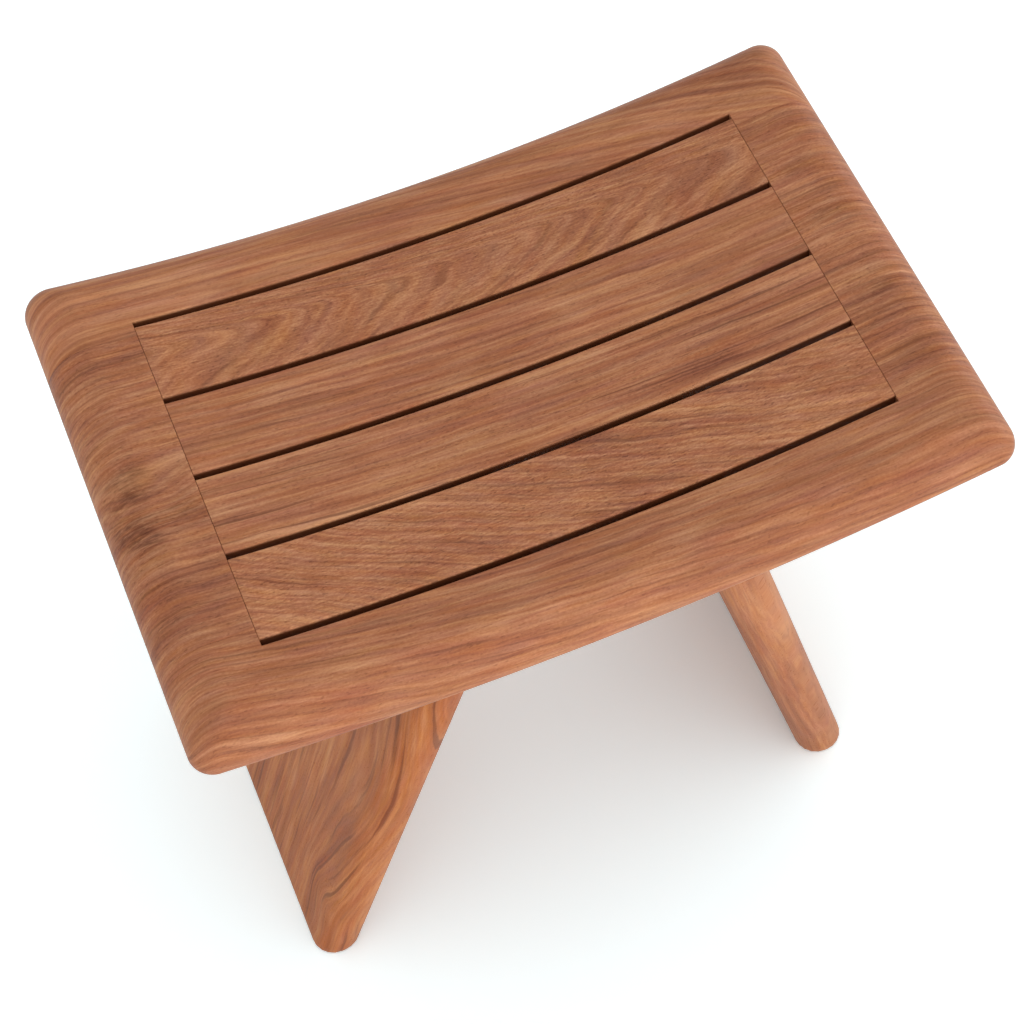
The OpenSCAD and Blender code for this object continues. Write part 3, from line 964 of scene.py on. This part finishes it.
class BENCH_OT_ends(Operator):
    """The two end rails: an outline that rolls over the end, carried from front to rear"""

    bl_idname = "bench.ends"
    bl_label = "End rails"

    def execute(self, context):
        for side, name, wood in ((-1, "left", teak_left_end()), (1, "right", teak_right_end())):
            shell = end_shell(sizes(), side)
            make_piece(f"rail_{name}_end", shell, [f"{name}_end_rail"], wood)
        return {"FINISHED"}


class BENCH_OT_slats(Operator):
    """The four slats: an eased board section carried along the hollow"""

    bl_idname = "bench.slats"
    bl_label = "Slats"

    def execute(self, context):
        for n, (middle, width) in enumerate(slat_places(sizes())):
            shell = slat_shell(sizes(), middle, width)
            make_piece(f"slat_board_{n + 1}", shell, [f"slat_{n + 1}"], teak_slat(n))
        return {"FINISHED"}


class BENCH_OT_legs(Operator):
    """The two splayed legs: rounded planks with a tongue between the rails"""

    bl_idname = "bench.legs"
    bl_label = "Legs"

    def execute(self, context):
        right = leg_shell(sizes())
        left = (right[0] * np.array([-1, 1, 1]), *right[1:])
        make_piece("plank_right", right, ["right_leg"], teak_right_leg())
        make_piece("plank_left", left, ["left_leg"], teak_left_leg())
        return {"FINISHED"}


class BENCH_OT_underframe(Operator):
    """The stretcher between the legs, and the finish of the cleats and dowels"""

    bl_idname = "bench.underframe"
    bl_label = "Stretcher, cleats and dowels"

    def execute(self, context):
        board = stretcher_shell(sizes())
        make_piece("stretcher_board", board, ["stretcher"], teak_stretcher())
        wood, pale = teak_cleats(), beech()
        for node in ("left_cleat", "right_cleat"):
            dress(node, wood)
        for node in ("slat_dowels", "end_rail_dowels", "leg_dowels"):
            dress(node, pale)
        return {"FINISHED"}


def dress(node, material):
    """Gives a node of the frame its finish."""
    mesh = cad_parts[node].data
    mesh.materials.clear()
    mesh.materials.append(material)


class BENCH_OT_fastenings(Operator):
    """The countersunk screws in the cleats and feet, and the rubber glides"""

    bl_idname = "bench.fastenings"
    bl_label = "Screws and glides"

    def execute(self, context):
        z = sizes()
        steel = stainless()
        low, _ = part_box("right_cleat")
        up = ((1, 0, 0), (0, 1, 0), (0, 0, 1))
        pitch = z.gap + z.inner_slat_width
        slat_screws = [
            screw_shell(25 * MM, (side * (low.x + 10 * MM), y, low.z), up)
            for side in (-1, 1)
            for y, _ in slat_places(z)
        ]
        leg_screws = [
            screw_shell(
                45 * MM, (side * low.x, y, low.z + 6 * MM), ((0, 0, side), (0, 1, 0), (-side, 0, 0))
            )
            for side in (-1, 1)
            for y in (-pitch, 0, pitch)
        ]
        foot_x = z.foot_spread / 2 - z.foot_clearance * tan(z.splay) - z.leg_thickness / cos(z.splay) / 2
        foot_y = z.leg_width / 2 - 30 * MM
        feet = [(side * foot_x, end * foot_y) for side in (-1, 1) for end in (-1, 1)]
        foot_screws = [screw_shell(18 * MM, (x, y, 0.5 * MM), up) for x, y in feet]
        glides = [glide_shell(x, y) for x, y in feet]
        make_piece("screws_in_cleats", together(slat_screws), ["cleat_slat_screws"], steel)
        make_piece("screws_to_legs", together(leg_screws), ["cleat_leg_screws"], steel)
        make_piece("screws_in_feet", together(foot_screws), ["glide_screws"], steel)
        make_piece("glides_under_feet", together(glides), ["foot_glides"], rubber())
        return {"FINISHED"}


class BENCH_OT_studio(Operator):
    """The pale floor, the soft lights and the camera"""

    bl_idname = "bench.studio"
    bl_label = "Studio"

    def execute(self, context):
        s = context.scene.bench_studio
        scene = context.scene
        scene.view_settings.view_transform = "Standard"
        pale_floor(s)
        pale_room(s)
        place_camera(s)
        return {"FINISHED"}


def pale_floor(s):
    """A level square floor 8 m across, matt with a trace of mottling. What the camera sees of it is
    lifted by a constant, so the open floor is white and the bench's shadow stays."""
    mesh = bpy.data.meshes.new("studio_floor")
    reach = (-FLOOR_HALF, FLOOR_HALF)
    mesh.from_pydata([(x, y, 0.0) for y in reach for x in reach], [], [(0, 1, 3, 2)])
    t = Shader("pale floor")
    x, y, _ = t.place()
    mottle = t.noise(t.times(x, 0.003), t.times(y, 0.003), 1.0)
    seen = t.node("ShaderNodeLightPath").outputs["Is Camera Ray"]
    colour = t.mix(t.band(mottle, -0.4, 0.4), s.floor, [0.985 * c for c in s.floor])
    matt = t.node("ShaderNodeBsdfDiffuse", {"Color": t.mix(seen, colour, FLOOR_SHOWN)})
    glow = {"Color": (1.0, 1.0, 1.0, 1.0), "Strength": t.times(seen, FLOOR_GLOW)}
    glow = t.node("ShaderNodeEmission", glow)
    t.show(t.node("ShaderNodeAddShader", {0: matt.outputs[0], 1: glow.outputs[0]}))
    mesh.materials.append(t.material)
    floor = add_object("studio_floor", mesh)


def pale_room(s):
    """The soft light of a white studio: walls of light, strongest at the front right, and a light
    overhead, walls exp(-(h / rise)^2) (1 + share cos(turn)) (1 - shade y) + top h^2. h is the sine of
    the elevation, y above zero is the rear and turn is the angle from the strongest side. Past the
    floor the camera sees an even pale grey."""
    world = bpy.data.worlds.new("pale room")
    bpy.context.scene.world = world
    world.use_nodes = True
    t = Shader(tree=world.node_tree)
    place = t.node("ShaderNodeTexCoord").outputs["Generated"]
    x, y, h = t.node("ShaderNodeSeparateXYZ", {0: place}).outputs
    square = t.times(h, h)
    low = t.fall(t.times(square, 1 / WALL_RISE**2))
    side = t.total((x, cos(s.key_side)), (y, sin(s.key_side)))
    dark = t.times(t.math("MAXIMUM", y, 0.0), -s.rear_shade)
    panel = t.times(t.times(low, t.add(dark, 1.0)), t.add(t.times(side, s.key_share), 1.0))
    level = t.total((panel, s.side_light), (square, s.top_light))
    seen = t.node("ShaderNodeLightPath").outputs["Is Camera Ray"]
    shown = t.add(level, t.times(seen, t.add(1.0, t.times(level, -1.0))))
    t.show(t.node("ShaderNodeBackground", {"Strength": shown}), "ShaderNodeOutputWorld")


def place_camera(s):
    """The camera stands at the photograph's angle, level from side to side."""
    a, e = CAMERA_AZIMUTH, CAMERA_ELEVATION
    data = bpy.data.cameras.new("camera")
    data.sensor_width = 36.0
    data.lens = s.lens
    data.shift_x, data.shift_y = CAMERA_SHIFT
    data.clip_start, data.clip_end = 0.05, 50.0
    camera = add_object("camera", data)
    camera.location = CAMERA_PLACE
    camera.rotation_euler = (pi / 2 - e, 0.0, a)
    bpy.context.scene.camera = camera


class BENCH_PT_sidebar(Panel):
    """The bench's sizes, finishes and studio"""

    bl_label = "Teak shower bench"
    bl_idname = "BENCH_PT_sidebar"
    bl_space_type = "VIEW_3D"
    bl_region_type = "UI"
    bl_category = "Bench"

    def draw(self, context):
        for operator in STEPS:
            self.layout.operator(operator.bl_idname)
        for place in GROUPS:
            box, group = self.layout.box(), getattr(context.scene, place)
            for name in group.__annotations__:
                box.prop(group, name)


GROUPS = {"bench_sizes": BenchSizes, "bench_finish": BenchFinish, "bench_studio": BenchStudio}
STEPS = (
    BENCH_OT_rails,
    BENCH_OT_ends,
    BENCH_OT_slats,
    BENCH_OT_legs,
    BENCH_OT_underframe,
    BENCH_OT_fastenings,
    BENCH_OT_studio,
)


def register():
    for item in (*GROUPS.values(), *STEPS, BENCH_PT_sidebar):
        bpy.utils.register_class(item)
    for place, group in GROUPS.items():
        setattr(bpy.types.Scene, place, PointerProperty(type=group))


def unregister():
    for place in GROUPS:
        delattr(bpy.types.Scene, place)
    for item in reversed((*GROUPS.values(), *STEPS, BENCH_PT_sidebar)):
        bpy.utils.unregister_class(item)


def main():
    """Registers the classes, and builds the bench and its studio."""
    register()
    for step in ("rails", "ends", "slats", "legs", "underframe", "fastenings", "studio"):
        getattr(bpy.ops.bench, step)()


if __name__ == "__main__":
    main()
